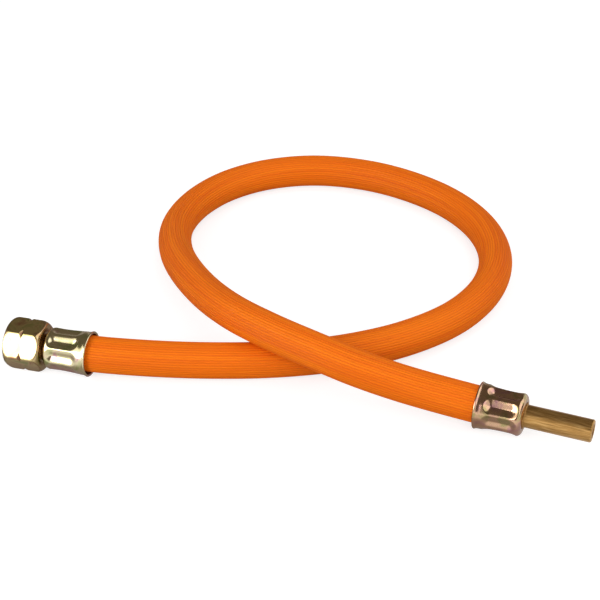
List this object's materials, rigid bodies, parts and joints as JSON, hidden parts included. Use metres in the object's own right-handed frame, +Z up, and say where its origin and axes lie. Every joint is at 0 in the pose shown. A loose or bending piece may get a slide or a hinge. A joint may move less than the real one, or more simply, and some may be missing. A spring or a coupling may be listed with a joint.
{
  "type": "flexible gas hose",
  "caption": "Orange rubber gas hose in a loose loop, with a spinning hexagonal union nut at one end and a plain brass pipe stub at the other.",
  "frame": {"origin": "middle of the union nut's flat that rests on the table", "axes": "+X from the nut's axis into the hose, +Z up from the table, the loop on the +Y side"},
  "size_m": [0.2122, 0.1736, 0.027],
  "materials": {
    "nut_plate": "turned steel, yellow zinc plate",
    "ferrule_plate": "drawn steel, yellow zinc plate",
    "brass": "turned",
    "hose_rubber": "satin, finely fluted along its length"
  },
  "bodies": {
    "hose_body": {"cone_nipple": "brass", "nut_end_ferrule": "ferrule_plate", "hose": "hose_rubber", "pipe_end_ferrule": "ferrule_plate", "pipe_stub": "brass"},
    "nut": {"union_nut": "nut_plate"}
  },
  "joints": [
    {"name": "nut_spin", "type": "hinge", "parent": "hose_body", "child": "nut", "pos_m": [0, 0, 0.0084], "axis": [1, 0, 0], "continuous": true}
  ]
}
